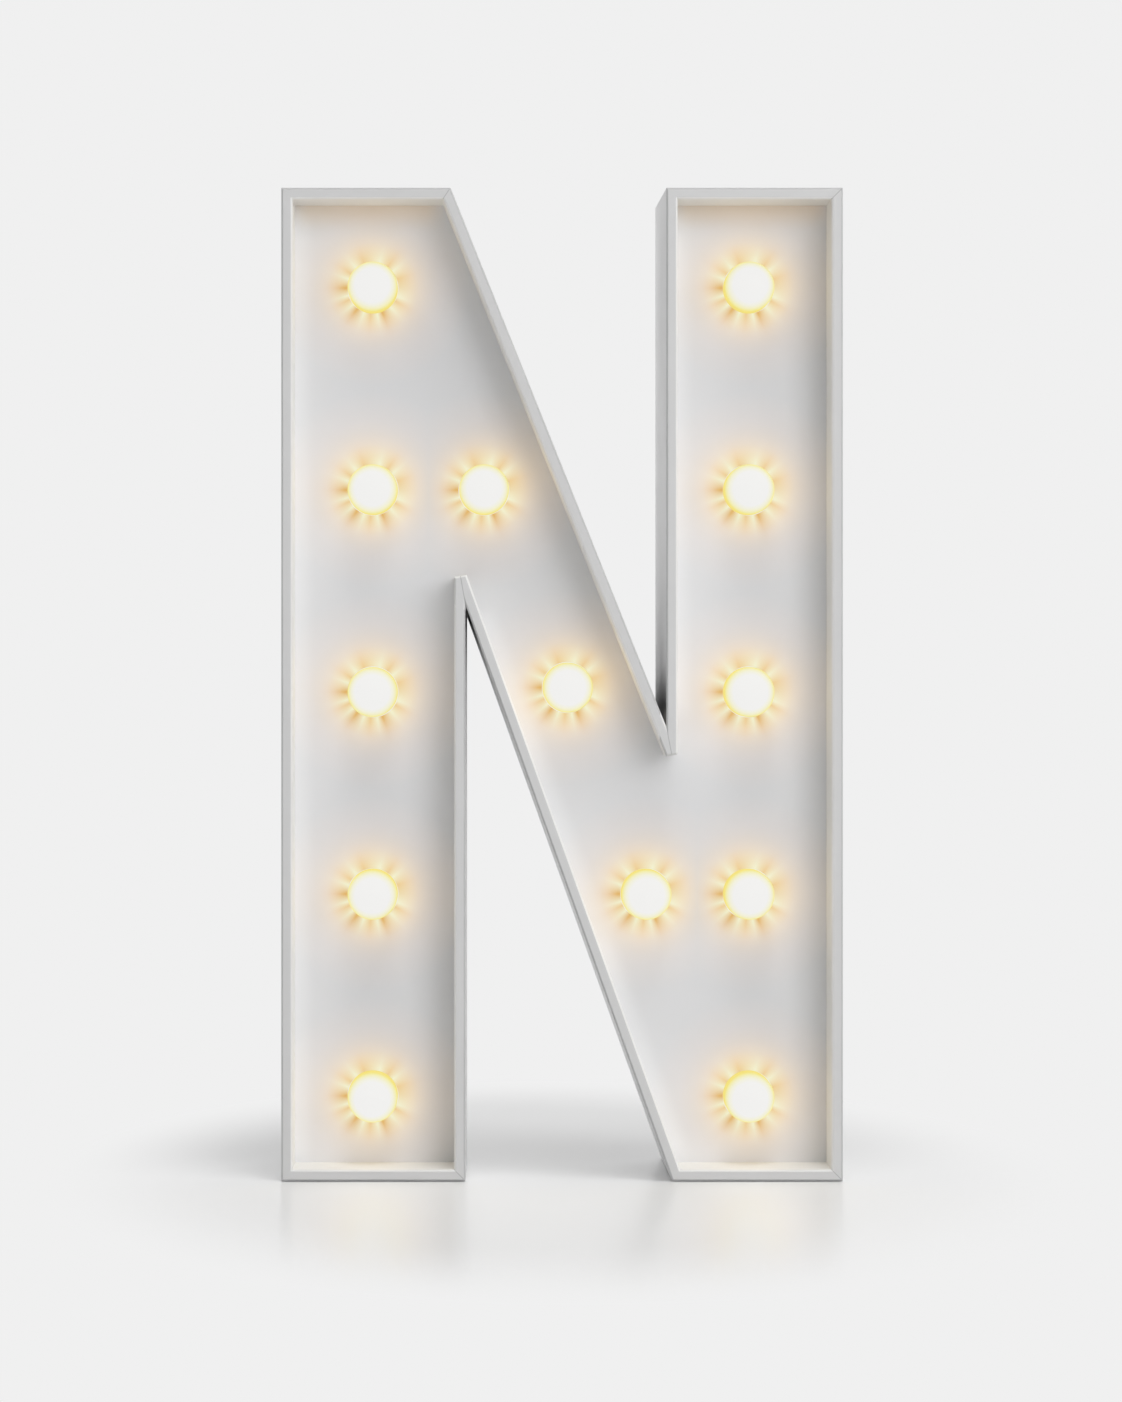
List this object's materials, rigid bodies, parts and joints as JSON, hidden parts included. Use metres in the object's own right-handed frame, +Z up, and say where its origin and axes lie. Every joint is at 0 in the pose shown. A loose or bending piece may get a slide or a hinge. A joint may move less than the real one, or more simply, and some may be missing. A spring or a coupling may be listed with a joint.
{
  "type": "light-up letter",
  "caption": "White tray letter N with round warm bulbs, run by cells behind a hinged door in its back, with a slide switch and keyholes.",
  "frame": {"origin": "middle of the footprint, on the surface that the letter stands on", "axes": "+Z up the stems, +X to the right as seen from the front, +Y towards the back; the lit face looks to -Y"},
  "size_m": [0.1252, 0.045, 0.2204],
  "materials": {
    "shell_white": "satin white moulding",
    "panel_white": "smooth white moulding",
    "bulb_frost": "frosted cap, lit warm white",
    "led_warm": "clear epoxy, lit warm white",
    "wire_red": "red insulation",
    "wire_black": "black insulation",
    "screw_steel": "zinc-plated",
    "cell_wrap": "printed wrap left plain",
    "contact_nickel": "nickel-plated",
    "spring_steel": "nickel-plated wire",
    "switch_metal": "folded sheet",
    "slider_black": "black moulding",
    "resistor_tan": "tan lacquer"
  },
  "bodies": {
    "letter": {"outer_frame": "shell_white", "face_panel": "panel_white", "back_cover": "shell_white", "bulb_1": "bulb_frost", "bulb_2": "bulb_frost", "bulb_3": "bulb_frost", "bulb_4": "bulb_frost", "bulb_5": "bulb_frost", "bulb_6": "bulb_frost", "bulb_7": "bulb_frost", "bulb_8": "bulb_frost", "bulb_9": "bulb_frost", "bulb_10": "bulb_frost", "bulb_11": "bulb_frost", "bulb_12": "bulb_frost", "bulb_13": "bulb_frost", "led_1": "led_warm", "led_2": "led_warm", "led_3": "led_warm", "led_4": "led_warm", "led_5": "led_warm", "led_6": "led_warm", "led_7": "led_warm", "led_8": "led_warm", "led_9": "led_warm", "led_10": "led_warm", "led_11": "led_warm", "led_12": "led_warm", "led_13": "led_warm", "led_holders": "panel_white", "jumper_wires_red": "wire_red", "jumper_wires_black": "wire_black", "cover_screws": "screw_steel", "battery_cell_a": "cell_wrap", "battery_cell_b": "cell_wrap", "contact_positive": "contact_nickel", "contact_negative": "contact_nickel", "contact_link": "contact_nickel", "contact_spring_a": "spring_steel", "contact_spring_b": "spring_steel", "switch_housing": "switch_metal", "switch_terminals": "contact_nickel", "resistor": "resistor_tan", "lead_battery_red": "wire_red", "lead_resistor_red": "wire_red", "lead_battery_black": "wire_black"},
    "battery_door": {"battery_door": "shell_white"},
    "switch_slider": {"switch_slider": "slider_black"}
  },
  "joints": [
    {"name": "battery_door_hinge", "type": "hinge", "parent": "letter", "child": "battery_door", "pos_m": [-0.0418, 0.0195, 0.08925], "axis": [1, 0, 0], "range_deg": [0, 90]},
    {"name": "switch_slide", "type": "slide", "parent": "letter", "child": "switch_slider", "axis": [1, 0, 0], "range_m": [-0.0034, 0]}
  ]
}
